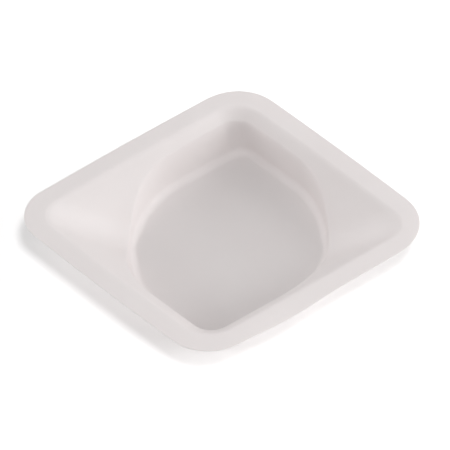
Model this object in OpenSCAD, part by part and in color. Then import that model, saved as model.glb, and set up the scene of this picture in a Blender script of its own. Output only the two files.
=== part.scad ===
// Diamond-shaped weighing boat, vacuum-formed in one piece from thin polystyrene sheet.
//
// The boat rests on z = 0 with its length along X, and its origin is at the centre of the
// floor's underside. The sheet is lofted as a grid of points: each row of the grid is a
// closed line round the boat and each column runs from the floor out to the cut edge.
// The height of the inside face is a formula of the place in plan, and the outside face is
// the inside face moved by the sheet's thickness along its own normals.

/* [Outline] */
// Length over the flange, tip to tip
boat_length = 133; // [125:1:145]
// Width over the flange, across the blunt corners
boat_width = 102; // [96:1:108]
// Height from the resting face to the top of the flange
boat_height = 19; // [14:0.5:22]
// Corner radius of the outline at the two pouring tips
tip_radius = 10.5; // [9.5:0.5:12.5]
// Corner radius of the outline at the two blunt corners
blunt_radius = 19; // [17:0.5:22]
// Radius of the slight outward bow of the four sides
side_bow_radius = 1750; // [900:50:3000]

/* [Sheet] */
// Thickness of the formed sheet
sheet = 0.4; // [0.3:0.05:0.6]
// Width of the flat flange
flange_width = 6.5; // [5.5:0.25:7]
// Angle by which the flange droops towards its cut edge
flange_droop = 4; // [0:0.5:6]

/* [Well] */
// Radius of the floor's edge where it faces the two pouring tips
floor_radius = 32.5; // [31.5:0.25:34]
// Slope of the well's steep wall above the horizontal
wall_angle = 83; // [80:1:85]
// Radius of the fillet between the floor and the wall
foot_radius = 3; // [2:0.25:4]

/* [Forming radii] */
// Height over which the flange rolls into the well
rim_blend = 2; // [1.5:0.25:2.5]
// Height over which the steep wall rounds over into the falling face above it
crest_blend = 4; // [2:0.5:5]
// Height over which the two faces of a chute run together in its valley
valley_blend = 3; // [1:0.5:4]

/* [Hidden] */

// Grid steps along a quarter of the outline
tip_steps = 5;
side_steps = 14;
blunt_steps = 5;
// Grid steps across the section: the foot fillet, the steep wall and the face above it
foot_steps = 4;
wall_steps = 3;
face_steps = 6;
// Places of the rows across the rim's roll and the crest, as shares of their half widths
roll_shares = [1, 0.6, 0.3, 0, -0.3, -0.6, -1];
crest_shares = [-1, -0.35, 0.35, 1];
// The flat of the floor ends this far inside the foot fillet's start
flat_margin = 0.6;
// The crest stays this many of its half widths clear of the foot fillet and of the rim
crest_clearance = 1.5;
// Smallest plan radius of the inside corners
inner_corner_radius = 3;

// ---------------------------------------------------------------- outline

// One bowed side is an arc that touches the tip's and the blunt corner's arcs from outside.
// Its centre follows from the two corner centres and the three radii.
tip_centre = [boat_length / 2 - tip_radius, 0];
blunt_centre = [0, boat_width / 2 - blunt_radius];
side_centre = arc_centre(tip_centre, side_bow_radius - tip_radius,
                         blunt_centre, side_bow_radius - blunt_radius);

// The point at distance ra from a and rb from b, on the side of the origin
function arc_centre(a, ra, b, rb) =
    let (gap = norm(b - a),
         along = (b - a) / gap,
         across = [-along.y, along.x],
         reach = (ra * ra - rb * rb + gap * gap) / (2 * gap),
         drop = sqrt(ra * ra - reach * reach))
    a + reach * along + drop * across;

function arc_point(centre, radius, angle) = centre + radius * [cos(angle), sin(angle)];

function direction(from, to) = atan2(to.y - from.y, to.x - from.x);

// A quarter of the outline, inset by the given distance, from the tip to the blunt corner.
// The side keeps its place, and the corners keep at least the inside corner radius.
function quarter(inset) =
    let (tip_r = max(tip_radius - inset, inner_corner_radius),
         blunt_r = max(blunt_radius - inset, inner_corner_radius),
         side_r = side_bow_radius - inset,
         tip_x = side_centre.x + sqrt(pow(side_r - tip_r, 2) - pow(side_centre.y, 2)),
         blunt_y = side_centre.y + sqrt(pow(side_r - blunt_r, 2) - pow(side_centre.x, 2)),
         tip_c = [tip_x, 0],
         blunt_c = [0, blunt_y],
         start = direction(side_centre, tip_c),
         end = direction(side_centre, blunt_c))
    concat(
        [for (i = [0:tip_steps - 1]) arc_point(tip_c, tip_r, start * i / tip_steps)],
        [for (i = [0:side_steps - 1])
            arc_point(side_centre, side_r, start + (end - start) * i / side_steps)],
        [for (i = [0:blunt_steps - 1])
            arc_point(blunt_c, blunt_r, end + (90 - end) * i / blunt_steps)]);

// The blunt corner's own point, which ends one quarter and starts the next
function blunt_point(inset) =
    let (blunt_r = max(blunt_radius - inset, inner_corner_radius),
         side_r = side_bow_radius - inset)
    [0, side_centre.y + sqrt(pow(side_r - blunt_r, 2) - pow(side_centre.x, 2)) + blunt_r];

// The whole closed outline at an inset, anticlockwise from the tip at +X
function outline(inset) =
    let (q = quarter(inset),
         half = concat(q, [blunt_point(inset)],
                       [for (i = [len(q) - 1:-1:1]) [-q[i].x, q[i].y]]))
    concat(half, -half);

// How far in from the cut edge a place is, from the arc that is nearest to it
function inset_of(p) =
    let (q = [abs(p.x), abs(p.y)],
         angle = direction(side_centre, q))
    angle < direction(side_centre, tip_centre) ? tip_radius - norm(q - tip_centre) :
    angle > direction(side_centre, blunt_centre) ? blunt_radius - norm(q - blunt_centre) :
    side_bow_radius - norm(q - side_centre);

// ---------------------------------------------------------------- section of the well

// Direction from the origin to the nearest point of a side, and the distance to it
side_angle = direction(side_centre, [0, 0]);
side_reach = side_bow_radius - norm(side_centre);
rim_reach = side_reach - flange_width;

// Rise per distance of the wall and of the flange
wall_rise = tan(wall_angle);
flange_rise = tan(flange_droop);
// The floor's edge is a circle round the origin where it faces the tips. It touches this
// inset of the outline at each side, and follows it round the blunt corners.
floor_inset = side_reach - floor_radius;
// Rise of the faces that fall from the rim. The valley between a tip's two faces runs down
// to the floor's edge.
face_rise = (boat_height - sheet) / (rim_reach - floor_radius * cos(side_angle));

// Half the plan width of the rim's roll and of the steep wall's crest
roll_reach = rim_blend / (face_rise + flange_rise);
crest_reach = crest_blend / (wall_rise - face_rise);
// Height above the floor at which the tips' wall and the flange would meet. The roll takes
// the difference off again, so that the finished top is at boat_height.
inside_height = boat_height - sheet
              + rim_blend * flange_rise * wall_rise / pow(flange_rise + wall_rise, 2);
// Plan distance from the foot fillet's start to the wall's line, and to the fillet's end
foot_tangent = foot_radius * tan(wall_angle / 2);
foot_end = foot_radius * sin(wall_angle) - foot_tangent;

// The larger or the smaller of two heights, rounded where they meet
function blend_max(a, b, k) =
    let (h = min(max(0.5 + 0.5 * (a - b) / k, 0), 1))
    b + (a - b) * h + k * h * (1 - h);
function blend_min(a, b, k) = -blend_max(-a, -b, k);

// Direction from the origin, folded into the first quadrant
function turn(p) = atan2(abs(p.y), abs(p.x));
function faces_tip(p) = turn(p) < side_angle;

// Distance outwards from the floor's edge
function off_floor(p) = faces_tip(p) ? norm(p) - floor_radius : floor_inset - inset_of(p);

// The wall above the floor's edge, with a true fillet at its foot
function wall_height(off) =
    let (run = off + foot_tangent)
    run < 0 ? 0 :
    off < foot_end ? foot_radius - sqrt(foot_radius * foot_radius - run * run) :
    off * wall_rise;

// A face that falls from the rim, at an inset from the cut edge
function face_height(inset) = inside_height - (inset - flange_width) * face_rise;
function side_inset(q) = side_bow_radius - norm(q - side_centre);

// Towards a tip the faces of two sides meet in a valley, which makes the pouring chute.
// Round a blunt corner one face follows the outline.
function upper_height(p) =
    faces_tip(p) ? blend_max(face_height(side_inset([abs(p.x), abs(p.y)])),
                             face_height(side_inset([abs(p.x), -abs(p.y)])), valley_blend)
                 : face_height(inset_of(p));

// The steep wall cuts the falling faces off round the floor
function well_height(p) =
    max(blend_min(upper_height(p), wall_height(off_floor(p)), crest_blend), 0);

// Short wall under the flange at the tips, where the outline's corner cuts the valley off
function rim_wall_height(inset) = inside_height - (inset - flange_width) * wall_rise;
function flange_height(inset) = inside_height - max(flange_width - inset, 0) * flange_rise;

// Height of the inside face above the floor
function inside_face(p) =
    let (inset = inset_of(p),
         walled = max(well_height(p), rim_wall_height(inset)))
    blend_min(walled, flange_height(inset), rim_blend);

// ---------------------------------------------------------------- the sheet as a grid

// The closed line where the flange has rolled down into the well
rim_ring = outline(flange_width + roll_reach);
columns = len(rim_ring);

// Distance of that line from the floor's edge, in each column
rim_offs = [for (p = rim_ring) off_floor(p)];
// Distance of the steep wall's crest, where its rise meets the falling face on the line
// from the origin
function crest_off(skew) =
    (wall_rise * floor_radius + inside_height - rim_reach * face_rise)
        / (wall_rise - skew * face_rise) - floor_radius;
crest_offs = [for (j = [0:columns - 1])
    let (p = rim_ring[j],
         skew = faces_tip(p) ? cos(turn(p) - side_angle) : 1)
    min(max(crest_off(skew), foot_end + crest_clearance * crest_reach),
        rim_offs[j] - crest_clearance * crest_reach)];

// One row of the grid at the given distance from the floor's edge in each column. Round the
// blunt corners, where that distance is the same in every column, it follows the outline.
function well_row(offs) =
    let (ring = outline(floor_inset - offs[corner_column]))
    [for (j = [0:columns - 1])
        faces_tip(rim_ring[j]) ? (floor_radius + offs[j]) * unit(rim_ring[j]) : ring[j]];
corner_column = tip_steps + side_steps + blunt_steps;

// The same share of the way between two distances, in every column
function between(from, to, share) =
    [for (j = [0:columns - 1]) from[j] + (to[j] - from[j]) * share];
function level(off) = [for (j = [0:columns - 1]) off];
function crest_row(share) = [for (off = crest_offs) off + crest_reach * share];

// Distances of the rows from the flat of the floor out to the rim's roll
well_offs = concat(
    [level(-foot_tangent - flat_margin), level(-foot_tangent)],
    [for (i = [1:foot_steps])
        level(foot_radius * sin(wall_angle * i / foot_steps) - foot_tangent)],
    [for (i = [1:wall_steps - 1])
        between(level(foot_end), crest_row(-1), i / wall_steps)],
    [for (share = crest_shares) crest_row(share)],
    [for (i = [1:face_steps - 1])
        between(crest_row(1), rim_offs, i / face_steps)]);
flange_insets = concat(
    [for (share = roll_shares) flange_width + roll_reach * share],
    [(flange_width - roll_reach) / 2, 0]);

plan_rows = concat(
    [for (offs = well_offs) well_row(offs)],
    [for (inset = flange_insets) outline(inset)]);
inside_rows = [for (row = plan_rows) [for (p = row) [p.x, p.y, sheet + inside_face(p)]]];
rows = len(inside_rows);

function unit(v) = v / norm(v);

// Normal of the inside face at a grid point, from the neighbours on each side of it
function face_normal(i, j) =
    let (outward = inside_rows[min(i + 1, rows - 1)][j] - inside_rows[max(i - 1, 0)][j],
         round = inside_rows[i][(j + 1) % columns]
               - inside_rows[i][(j + columns - 1) % columns])
    unit(cross(outward, round));

// The outside face. The flat of the floor and the cut edge go straight down.
function outside_point(i, j) =
    inside_rows[i][j] - sheet * (i == 0 ? [0, 0, 1] : face_normal(i, j));

inside_points = [for (row = inside_rows) each row];
outside_points = [for (i = [0:rows - 1]) [for (j = [0:columns - 1]) outside_point(i, j)]];

// Two triangles between rows i and i + 1 of a face whose points start at the given index
function cell(start, i, j) =
    let (k = (j + 1) % columns,
         a = start + i * columns + j,
         b = start + i * columns + k,
         c = start + (i + 1) * columns + k,
         d = start + (i + 1) * columns + j)
    [[a, b, c], [a, c, d]];
function flipped(faces) = [for (f = faces) [f[2], f[1], f[0]]];

// Two triangles of the cut edge, from the inside face's last row to the outside face's
function cut_edge_pair(j) =
    let (k = (j + 1) % columns,
         a = (rows - 1) * columns + j,
         b = (rows - 1) * columns + k,
         shift = rows * columns)
    [[a, b, b + shift], [a, b + shift, a + shift]];

// The formed sheet, closed at the cut edge and across the flat of the floor
module formed_sheet() {
    count = rows * columns;
    points = concat(inside_points, [for (row = outside_points) each row]);
    inside_faces = [for (i = [0:rows - 2]) for (j = [0:columns - 1]) each cell(0, i, j)];
    outside_faces = [for (i = [0:rows - 2]) for (j = [0:columns - 1])
        each flipped(cell(count, i, j))];
    cut_edge = [for (j = [0:columns - 1]) each cut_edge_pair(j)];
    floor_top = [for (j = [columns - 1:-1:0]) j];
    floor_underside = [for (j = [0:columns - 1]) count + j];
    polyhedron(points, concat(inside_faces, outside_faces, cut_edge,
                              [floor_top, floor_underside]));
}

// The space above the resting face, which trims the floor's underside to one true plane
module above_resting_face() {
    translate([-boat_length, -boat_width, 0])
        cube([2 * boat_length, 2 * boat_width, 2 * boat_height]);
}

module boat() {
    color([0.92, 0.91, 0.90]) intersection() {
        formed_sheet();
        above_resting_face();
    }
}

boat();
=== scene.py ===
"""Weighing boat: a diamond-shaped dish of thin white polystyrene sheet, on a white table."""

import math

import bpy
import numpy as np
from mathutils import Matrix, Vector


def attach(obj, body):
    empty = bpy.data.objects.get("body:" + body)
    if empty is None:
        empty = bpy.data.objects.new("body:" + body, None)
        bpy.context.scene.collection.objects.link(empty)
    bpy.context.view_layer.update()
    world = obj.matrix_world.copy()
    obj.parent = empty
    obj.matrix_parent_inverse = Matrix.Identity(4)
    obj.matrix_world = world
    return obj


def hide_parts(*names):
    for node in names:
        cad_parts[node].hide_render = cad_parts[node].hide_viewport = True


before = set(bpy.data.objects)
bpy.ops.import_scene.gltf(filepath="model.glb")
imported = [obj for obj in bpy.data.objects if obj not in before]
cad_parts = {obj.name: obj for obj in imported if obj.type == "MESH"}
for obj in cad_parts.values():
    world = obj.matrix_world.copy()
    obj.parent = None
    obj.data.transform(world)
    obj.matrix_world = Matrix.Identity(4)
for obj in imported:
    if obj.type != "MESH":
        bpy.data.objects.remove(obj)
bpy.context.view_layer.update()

MM = 0.001

# ---------------------------------------------------------------- sizes
# In millimetres, and angles in degrees.
# The height is a hair less than the CAD's, so that the boat stays inside its box.
LENGTH, WIDTH, HEIGHT = 133.0, 102.0, 18.95
TIP_RADIUS, BLUNT_RADIUS, SIDE_BOW_RADIUS = 10.5, 19.0, 1750.0
THICKNESS, FLANGE_WIDTH, FLANGE_DROOP = 0.4, 6.5, 4.0
FLOOR_RADIUS, WALL_ANGLE, FOOT_RADIUS = 32.5, 83.0, 3.0
# Heights over which faces round into each other: at the rim, at the steep wall's crest and
# along the chutes' lowest line
RIM_BLEND, CREST_BLEND, VALLEY_BLEND = 1.0, 4.0, 10.0
# Radius of the tips' corners where the flange meets the well, and the least of any corner
RIM_TIP_RADIUS, LEAST_CORNER_RADIUS = 6.5, 3.0
# The crest stays this many of its half widths clear of the foot fillet and of the rim
CREST_CLEARANCE = 1.5

# This boat's own small deviations. The flange sags and bulges a little along one side,
# most strongly in the given direction from the centre, and the +X tip is a little blunter.
SAG, BULGE, SAG_DIRECTION, SAG_SPREAD = 1.0, 0.5, -55.0, 32.0
TIP_LOSS, TIP_LOSS_FROM = 1.2, 59.0

# Grid steps along a quarter of the outline and across the section
TIP_STEPS, SIDE_STEPS, BLUNT_STEPS = 22, 48, 20
FLAT_STEPS, FOOT_STEPS, WALL_STEPS, CREST_STEPS, FACE_STEPS = 6, 8, 8, 6, 20
ROLL_STEPS, FLANGE_STEPS, EDGE_STEPS = 14, 8, 6


# ---------------------------------------------------------------- the boat's outline
def arc_centre(a, ra, b, rb):
    """The point at distance ra from a and rb from b, on the side of the origin."""
    gap = np.linalg.norm(b - a)
    along = (b - a) / gap
    across = np.array([-along[1], along[0]])
    reach = (ra * ra - rb * rb + gap * gap) / (2 * gap)
    return a + reach * along + math.sqrt(ra * ra - reach * reach) * across


TIP_CENTRE = np.array([LENGTH / 2 - TIP_RADIUS, 0.0])
BLUNT_CENTRE = np.array([0.0, WIDTH / 2 - BLUNT_RADIUS])
SIDE_CENTRE = arc_centre(TIP_CENTRE, SIDE_BOW_RADIUS - TIP_RADIUS,
                         BLUNT_CENTRE, SIDE_BOW_RADIUS - BLUNT_RADIUS)


def direction(start, end):
    """Angle in radians from one place to another."""
    return np.arctan2(end[..., 1] - start[1], end[..., 0] - start[0])


def arc(centre, radius, start, end, count):
    """Points of an arc, its last one left out."""
    t = start + (end - start) * np.arange(count) / count
    return np.asarray(centre) + radius * np.c_[np.cos(t), np.sin(t)]


def tip_radius_at(inset):
    """Radius of the tips' corners: the cut edge's at the edge, the rim's from its roll inwards."""
    by_rim = RIM_TIP_RADIUS + FLANGE_WIDTH - inset
    share = min(inset / (FLANGE_WIDTH - ROLL_REACH), 1)
    return max(TIP_RADIUS + (by_rim - TIP_RADIUS) * share, LEAST_CORNER_RADIUS)


def outline(inset):
    """The closed outline at an inset from the cut edge, anticlockwise from the +X tip."""
    tip_r = tip_radius_at(inset)
    blunt_r = max(BLUNT_RADIUS - inset, LEAST_CORNER_RADIUS)
    side_r = SIDE_BOW_RADIUS - inset
    tip = np.array([SIDE_CENTRE[0] + math.sqrt((side_r - tip_r) ** 2 - SIDE_CENTRE[1] ** 2), 0])
    blunt = np.array(
        [0, SIDE_CENTRE[1] + math.sqrt((side_r - blunt_r) ** 2 - SIDE_CENTRE[0] ** 2)])
    start, end = direction(SIDE_CENTRE, tip), direction(SIDE_CENTRE, blunt)
    quarter = np.concatenate([
        arc(tip, tip_r, 0.0, start, TIP_STEPS),
        arc(SIDE_CENTRE, side_r, start, end, SIDE_STEPS),
        arc(blunt, blunt_r, end, math.pi / 2, BLUNT_STEPS)])
    top = np.array([[0.0, blunt[1] + blunt_r]])
    half = np.concatenate([quarter, top, quarter[:0:-1] * [-1, 1]])
    return np.concatenate([half, -half])


def side_inset(q):
    """How far in places are from the side that bows round SIDE_CENTRE."""
    return SIDE_BOW_RADIUS - np.linalg.norm(q - SIDE_CENTRE, axis=-1)


def inset_of(p):
    """How far in from the cut edge places are, from the arc that is nearest to each."""
    q = np.abs(p)
    angle = direction(SIDE_CENTRE, q)
    inset = np.where(angle < direction(SIDE_CENTRE, TIP_CENTRE),
                     TIP_RADIUS - np.linalg.norm(q - TIP_CENTRE, axis=-1), side_inset(q))
    return np.where(angle > direction(SIDE_CENTRE, BLUNT_CENTRE),
                    BLUNT_RADIUS - np.linalg.norm(q - BLUNT_CENTRE, axis=-1), inset)


# ---------------------------------------------------------------- the section of the well
def rise(angle):
    """Rise per distance of a slope in degrees."""
    return math.tan(math.radians(angle))


# The direction from the origin in which a side is nearest, and how far it and its rim are
SIDE_ANGLE = direction(SIDE_CENTRE, np.zeros(2))
SIDE_REACH = SIDE_BOW_RADIUS - np.linalg.norm(SIDE_CENTRE)
RIM_REACH = SIDE_REACH - FLANGE_WIDTH
FLOOR_INSET = SIDE_REACH - FLOOR_RADIUS
WALL_RISE, FLANGE_RISE = rise(WALL_ANGLE), rise(FLANGE_DROOP)
FACE_RISE = (HEIGHT - THICKNESS) / (RIM_REACH - FLOOR_RADIUS * math.cos(SIDE_ANGLE))
# Half the plan width of the rim's roll and of the steep wall's crest
ROLL_REACH = RIM_BLEND / (FACE_RISE + FLANGE_RISE)
CREST_REACH = CREST_BLEND / (WALL_RISE - FACE_RISE)
# Height above the floor at which the inside faces would meet the flange without their roll
INSIDE_HEIGHT = (HEIGHT - THICKNESS
                 + RIM_BLEND * FLANGE_RISE * WALL_RISE / (FLANGE_RISE + WALL_RISE) ** 2)
RIM_TIP_CENTRE = SIDE_CENTRE + [
    math.sqrt((SIDE_BOW_RADIUS - FLANGE_WIDTH - RIM_TIP_RADIUS) ** 2 - SIDE_CENTRE[1] ** 2),
    -SIDE_CENTRE[1]]
# Where the foot fillet starts, inside the floor's edge, and where it ends on the wall
FOOT_TANGENT = FOOT_RADIUS * rise(WALL_ANGLE / 2)
FOOT_END = FOOT_RADIUS * math.sin(math.radians(WALL_ANGLE)) - FOOT_TANGENT


def blend_max(a, b, k):
    """The larger of two heights, rounded where they differ by less than k."""
    h = np.clip(0.5 + 0.5 * (a - b) / k, 0, 1)
    return b + (a - b) * h + k * h * (1 - h)


def blend_min(a, b, k):
    """The smaller of two heights, rounded where they differ by less than k."""
    return -blend_max(-a, -b, k)


def turn(p):
    """Direction of places from the origin, folded into the first quadrant."""
    return np.arctan2(np.abs(p[..., 1]), np.abs(p[..., 0]))


def off_floor(p):
    """Distance outwards from the floor's edge."""
    return np.where(turn(p) < SIDE_ANGLE,
                    np.linalg.norm(p, axis=-1) - FLOOR_RADIUS, FLOOR_INSET - inset_of(p))


def wall_height(off):
    """The wall above the floor's edge, with a true fillet at its foot."""
    run = np.clip(off + FOOT_TANGENT, 0, FOOT_RADIUS)
    fillet = FOOT_RADIUS - np.sqrt(FOOT_RADIUS ** 2 - run ** 2)
    return np.where(off < FOOT_END, fillet, off * WALL_RISE)


def face_height(inset):
    """A face that falls from the rim, at an inset from the cut edge."""
    return INSIDE_HEIGHT - (inset - FLANGE_WIDTH) * FACE_RISE


def well_height(p):
    """The well without its rim: the steep wall cuts the falling faces off round the floor."""
    q = np.abs(p)
    chute = blend_max(face_height(side_inset(q)), face_height(side_inset(q * [1, -1])),
                      VALLEY_BLEND)
    upper = np.where(turn(p) < SIDE_ANGLE, chute, face_height(inset_of(p)))
    return np.maximum(blend_min(upper, wall_height(off_floor(p)), CREST_BLEND), 0)


def inside_face(p):
    """Height of the inside face above the floor: floor, steep wall, faces and flange."""
    inset, q = inset_of(p), np.abs(p)
    at_corner = direction(SIDE_CENTRE, q) < direction(SIDE_CENTRE, RIM_TIP_CENTRE)
    rim_inset = np.where(at_corner,
                         RIM_TIP_RADIUS - np.linalg.norm(q - RIM_TIP_CENTRE, axis=-1),
                         inset - FLANGE_WIDTH)
    # The chutes end in a short steep wall under the tips' flange
    rim_rise = np.where(rim_inset > 0, WALL_RISE, FACE_RISE)
    walled = np.maximum(well_height(p), INSIDE_HEIGHT - rim_inset * rim_rise)
    flange = INSIDE_HEIGHT - np.maximum(FLANGE_WIDTH - inset, 0) * FLANGE_RISE
    return blend_min(walled, flange, RIM_BLEND)


# ---------------------------------------------------------------- the sheet as a grid
def steps(start, end, count):
    """Distances from start to end in each column, the last one left out."""
    return [start + (end - start) * i / count for i in range(count)]


def crest_off(rim, rim_off):
    """Distance of the steep wall's crest from the floor's edge, on the way to each rim point."""
    skew = np.where(turn(rim) < SIDE_ANGLE, np.cos(turn(rim) - SIDE_ANGLE), 1)
    meeting = ((WALL_RISE * FLOOR_RADIUS + INSIDE_HEIGHT - RIM_REACH * FACE_RISE)
               / (WALL_RISE - skew * FACE_RISE) - FLOOR_RADIUS)
    clear = CREST_CLEARANCE * CREST_REACH
    return np.minimum(np.maximum(meeting, FOOT_END + clear), rim_off - clear)


def inside_rows():
    """Rows of points of the inside face, from near the centre out to the cut edge."""
    rim = outline(FLANGE_WIDTH + ROLL_REACH)
    tipward = turn(rim) < SIDE_ANGLE
    blunt_column = int(np.argmax(rim[:, 1]))
    rim_off = off_floor(rim)
    crest = crest_off(rim, rim_off)
    turns = [math.radians(WALL_ANGLE) * i / FOOT_STEPS for i in range(FOOT_STEPS)]
    offs = [np.full(len(rim), FOOT_RADIUS * math.sin(t) - FOOT_TANGENT) for t in turns]
    offs += steps(FOOT_END, crest - CREST_REACH, WALL_STEPS)
    offs += steps(crest - CREST_REACH, crest + CREST_REACH, CREST_STEPS)
    offs += steps(crest + CREST_REACH, rim_off, FACE_STEPS)
    # Towards the tips the rows follow the floor's circle, and elsewhere the cut edge
    rays = rim / np.linalg.norm(rim, axis=1, keepdims=True)
    rings = [np.where(tipward[:, None], (FLOOR_RADIUS + off)[:, None] * rays,
                      outline(FLOOR_INSET - off[blunt_column])) for off in offs]
    rings = [rings[0] * i / FLAT_STEPS for i in range(1, FLAT_STEPS)] + rings
    insets = steps(FLANGE_WIDTH + ROLL_REACH, FLANGE_WIDTH - ROLL_REACH, ROLL_STEPS)
    insets += steps(FLANGE_WIDTH - ROLL_REACH, THICKNESS / 2, FLANGE_STEPS) + [THICKNESS / 2]
    rings += [outline(inset) for inset in insets]
    return np.array([np.c_[ring, THICKNESS + inside_face(ring)] for ring in rings])


def deviated(rows):
    """The rows with this boat's own deviations, which fade out towards the rim."""
    out = rows.copy()
    plan = rows[..., :2]
    reach = np.linalg.norm(plan, axis=-1)
    away = np.degrees(np.arctan2(plan[..., 1], plan[..., 0])) - SAG_DIRECTION
    near = np.cos(np.pi / 2 * np.clip(away / SAG_SPREAD, -1, 1)) ** 2
    edge = np.clip(1 - inset_of(plan) / FLANGE_WIDTH, 0, 1) * near
    out[..., 2] -= SAG * edge ** 2
    out[..., :2] += (BULGE * edge / reach)[..., None] * plan
    tip = np.clip((rows[..., 0] - TIP_LOSS_FROM) / (LENGTH / 2 - TIP_LOSS_FROM), 0, 1)
    out[..., 0] -= TIP_LOSS * tip ** 2 * (3 - 2 * tip)
    return out


def normals(rows):
    """Unit normals of a grid of rows, pointing up out of the inside face."""
    outward = np.empty_like(rows)
    outward[1:-1] = rows[2:] - rows[:-2]
    outward[0], outward[-1] = rows[1] - rows[0], rows[-1] - rows[-2]
    around = np.roll(rows, -1, axis=1) - np.roll(rows, 1, axis=1)
    n = np.cross(outward, around)
    return n / np.linalg.norm(n, axis=2, keepdims=True)


def sheet_rows():
    """All rows of the closed sheet: inside face, rounded cut edge, outside face."""
    top = deviated(inside_rows())
    n = normals(top)
    n[:FLAT_STEPS] = [0, 0, 1]
    under = top - THICKNESS * n
    middle = top[-1] - THICKNESS / 2 * n[-1]
    out = np.cross(np.roll(top[-1], -1, axis=0) - np.roll(top[-1], 1, axis=0), n[-1])
    out /= np.linalg.norm(out, axis=1, keepdims=True)
    turns = [math.pi * i / EDGE_STEPS for i in range(1, EDGE_STEPS)]
    edge = [middle + THICKNESS / 2 * (math.cos(t) * n[-1] + math.sin(t) * out) for t in turns]
    return np.concatenate([top, np.array(edge), under[::-1]])


def boat_mesh():
    """The sheet's rows joined by faces, and closed by a centre point on either side."""
    rows = sheet_rows()
    count, columns = rows.shape[:2]
    points = [tuple(p) for p in rows.reshape(-1, 3) * MM]
    points += [(0, 0, THICKNESS * MM), (0, 0, 0)]
    inner, outer = count * columns, count * columns + 1
    last_row = (count - 1) * columns
    faces = []
    for i in range(0, last_row, columns):
        for j in range(columns):
            k = (j + 1) % columns
            faces.append((i + j, i + columns + j, i + columns + k, i + k))
    for j in range(columns):
        k = (j + 1) % columns
        faces.append((inner, j, k))
        faces.append((outer, last_row + k, last_row + j))
    mesh = bpy.data.meshes.new("boat_sheet")
    mesh.from_pydata(points, [], faces)
    mesh.polygons.foreach_set("use_smooth", [True] * len(mesh.polygons))
    mesh.update()
    return mesh


# ---------------------------------------------------------------- material
# Sizes of the sheet's unevenness: features per metre, and heights in metres
PATCH_SCALE, WAVE_SCALE, SKIN_SCALE = 45, 120, 900
WAVE_HEIGHT, GRAIN_HEIGHT = 0.0004, 0.00006
WAVE_STRENGTH, GRAIN_STRENGTH = 0.5, 0.3
# Noise values mostly lie between these two
NOISE_LOW, NOISE_HIGH = 0.3, 0.7

# The milky white of the sheet where it is thin and where it is full, and of the light that
# passes through it
THIN_COLOUR, FULL_COLOUR = (0.922, 0.886, 0.882), (0.938, 0.906, 0.902)
THROUGH_COLOUR = (0.93, 0.895, 0.888)
# How much of the light passes through it, where it is thin and where it is full
THIN_THROUGH, FULL_THROUGH = 0.37, 0.33
SMOOTHEST, ROUGHEST = 0.48, 0.60
IOR, SPECULAR_LEVEL = 1.5, 0.3


def material_of(name):
    """A new material with its nodes and links."""
    mat = bpy.data.materials.new(name)
    mat.use_nodes = True
    return mat, mat.node_tree.nodes, mat.node_tree.links


def polystyrene():
    """Milky white sheet: satin, a little light passes through, faintly uneven."""
    mat, nodes, links = material_of("polystyrene")

    def noise(scale, detail):
        tex = nodes.new("ShaderNodeTexNoise")
        tex.inputs["Scale"].default_value = scale
        tex.inputs["Detail"].default_value = detail
        links.new(place.outputs["Object"], tex.inputs["Vector"])
        return tex.outputs["Fac"]

    def spread(value, low, high):
        level = nodes.new("ShaderNodeMapRange")
        level.inputs["From Min"].default_value = NOISE_LOW
        level.inputs["From Max"].default_value = NOISE_HIGH
        level.inputs["To Min"].default_value = low
        level.inputs["To Max"].default_value = high
        links.new(value, level.inputs["Value"])
        return level.outputs[0]

    def tint(value, low, high):
        blend = nodes.new("ShaderNodeMix")
        blend.data_type = "RGBA"
        links.new(value, blend.inputs["Factor"])
        blend.inputs["A"].default_value = (*low, 1)
        blend.inputs["B"].default_value = (*high, 1)
        return blend.outputs["Result"]

    def bump(height, distance, strength):
        relief = nodes.new("ShaderNodeBump")
        relief.inputs["Strength"].default_value = strength
        relief.inputs["Distance"].default_value = distance
        links.new(height, relief.inputs["Height"])
        return relief

    place = nodes.new("ShaderNodeTexCoord")
    # Forming stretches the sheet unevenly: patches of a few centimetres let through more
    # light, and the skin has a faint waviness and a finer grain
    patches = noise(PATCH_SCALE, 2)
    skin = noise(SKIN_SCALE, 3)
    waves = bump(noise(WAVE_SCALE, 2), WAVE_HEIGHT, WAVE_STRENGTH)
    grain = bump(skin, GRAIN_HEIGHT, GRAIN_STRENGTH)
    links.new(waves.outputs[0], grain.inputs["Normal"])
    satin = nodes["Principled BSDF"]
    links.new(tint(patches, THIN_COLOUR, FULL_COLOUR), satin.inputs["Base Color"])
    links.new(spread(skin, SMOOTHEST, ROUGHEST), satin.inputs["Roughness"])
    satin.inputs["IOR"].default_value = IOR
    satin.inputs["Specular IOR Level"].default_value = SPECULAR_LEVEL
    links.new(grain.outputs[0], satin.inputs["Normal"])
    through = nodes.new("ShaderNodeBsdfTranslucent")
    through.inputs["Color"].default_value = (*THROUGH_COLOUR, 1)
    links.new(grain.outputs[0], through.inputs["Normal"])
    mix = nodes.new("ShaderNodeMixShader")
    links.new(spread(patches, THIN_THROUGH, FULL_THROUGH), mix.inputs["Fac"])
    links.new(satin.outputs[0], mix.inputs[1])
    links.new(through.outputs[0], mix.inputs[2])
    links.new(mix.outputs[0], nodes["Material Output"].inputs["Surface"])
    return mat


# ---------------------------------------------------------------- studio
# How bright the table is to the light, and to the camera, which sees it white away from
# the boat's shadow
TABLE_ALBEDO, TABLE_SEEN = 0.90, 1.30
# In metres. The table lies a hair below the boat, so that the two faces don't share one plane
TABLE_SIZE, TABLE_HEIGHT = 8.0, -0.00005

# A small lamp high up casts the shadow, and wide low ones light the well's faces.
# Name, azimuth and elevation in degrees, size in metres, watts
LAMPS = [
    ("key", -46, 69, 0.85, 73.0),
    ("right", 0, 20, 2.8, 147.0),
    ("left", 180, 20, 2.8, 69.0),
    ("rear_left", 135, 20, 2.8, 35.0)]
# How far each lamp stands from the middle of the table, in metres
LAMP_DISTANCE = 5.0
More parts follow.
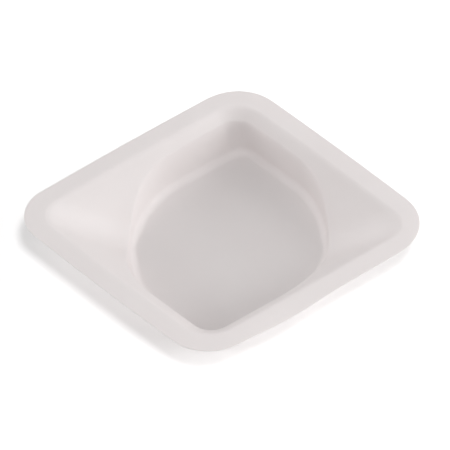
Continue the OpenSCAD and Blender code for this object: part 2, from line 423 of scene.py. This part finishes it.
# How strongly the white room lights the boat, and how bright the camera sees it
ROOM_STRENGTH, ROOM_SEEN = 0.345, 1.0


def by_camera_ray(nodes, links, socket, other, seen):
    """Give a socket one value for what the camera sees and another for all other light."""
    path = nodes.new("ShaderNodeLightPath")
    level = nodes.new("ShaderNodeMapRange")
    level.inputs["To Min"].default_value = other
    level.inputs["To Max"].default_value = seen
    links.new(path.outputs["Is Camera Ray"], level.inputs["Value"])
    links.new(level.outputs[0], socket)


def table_top():
    """A wide white matt table."""
    bpy.ops.mesh.primitive_plane_add(size=TABLE_SIZE)
    floor = bpy.context.object
    floor.name = "table_top"
    floor.location.z = TABLE_HEIGHT
    mat, nodes, links = material_of("table_white")
    nodes.remove(nodes["Principled BSDF"])
    matt = nodes.new("ShaderNodeBsdfDiffuse")
    by_camera_ray(nodes, links, matt.inputs["Color"], TABLE_ALBEDO, TABLE_SEEN)
    links.new(matt.outputs[0], nodes["Material Output"].inputs["Surface"])
    floor.data.materials.append(mat)


def area_light(name, azimuth, elevation, size, watts):
    """A square lamp that faces the boat from a direction in degrees."""
    az, el = math.radians(azimuth), math.radians(elevation)
    towards = Vector((math.cos(el) * math.cos(az), math.cos(el) * math.sin(az), math.sin(el)))
    light = bpy.data.lights.new(name, "AREA")
    light.shape = "SQUARE"
    light.size = size
    light.energy = watts
    lamp = bpy.data.objects.new(name, light)
    bpy.context.collection.objects.link(lamp)
    lamp.location = towards * LAMP_DISTANCE
    lamp.rotation_euler = (-towards).to_track_quat("-Z", "Y").to_euler()


def white_room():
    """A white world that lights the boat evenly from all sides."""
    world = bpy.data.worlds.new("white_room")
    bpy.context.scene.world = world
    world.use_nodes = True
    background = world.node_tree.nodes["Background"]
    background.inputs["Color"].default_value = (1, 1, 1, 1)
    by_camera_ray(world.node_tree.nodes, world.node_tree.links, background.inputs["Strength"],
                  ROOM_STRENGTH, ROOM_SEEN)


# The camera looks down on the boat from the front left, and is rolled so that the length
# lies level in the picture. It stands far off, so the view is nearly parallel. Angles are in
# degrees, distances in millimetres.
CAMERA_AZIMUTH, CAMERA_ELEVATION, CAMERA_ROLL = -16.66, 56.03, -12.09
CAMERA_DISTANCE = 2500.0
# Width of the view at the boat, and how far its middle lies right of and above the boat's
VIEW_WIDTH, VIEW_RIGHT, VIEW_UP = 147.54, 0.74, -2.04
SENSOR = 36.0
# Nearest and furthest distance that the camera sees, in metres
CLIP_START, CLIP_END = 0.1, 100.0


def camera():
    """The camera, at the photograph's angle."""
    az, el, roll = map(math.radians, (CAMERA_AZIMUTH, CAMERA_ELEVATION, CAMERA_ROLL))
    forward = Vector((math.sin(az) * math.cos(el), math.cos(az) * math.cos(el), -math.sin(el)))
    level = Vector((math.cos(az), -math.sin(az), 0))
    upright = level.cross(forward)
    right = level * math.cos(roll) + upright * math.sin(roll)
    up = upright * math.cos(roll) - level * math.sin(roll)
    target = Vector((0, 0, HEIGHT)) + right * VIEW_RIGHT + up * VIEW_UP
    at = target - forward * CAMERA_DISTANCE
    data = bpy.data.cameras.new("camera")
    data.sensor_width = SENSOR
    data.lens = SENSOR * CAMERA_DISTANCE / VIEW_WIDTH
    data.clip_start, data.clip_end = CLIP_START, CLIP_END
    cam = bpy.data.objects.new("camera", data)
    bpy.context.collection.objects.link(cam)
    cam.matrix_world = Matrix((
        (right.x, up.x, -forward.x, at.x * MM),
        (right.y, up.y, -forward.y, at.y * MM),
        (right.z, up.z, -forward.z, at.z * MM),
        (0, 0, 0, 1)))
    bpy.context.scene.camera = cam


# ---------------------------------------------------------------- the scene
boat = bpy.data.objects.new("boat_sheet", boat_mesh())
bpy.context.collection.objects.link(boat)
boat.data.materials.append(polystyrene())
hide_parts("boat")
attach(boat, "root")

table_top()
for lamp in LAMPS:
    area_light(*lamp)
white_room()
camera()
bpy.context.scene.view_settings.view_transform = "Standard"
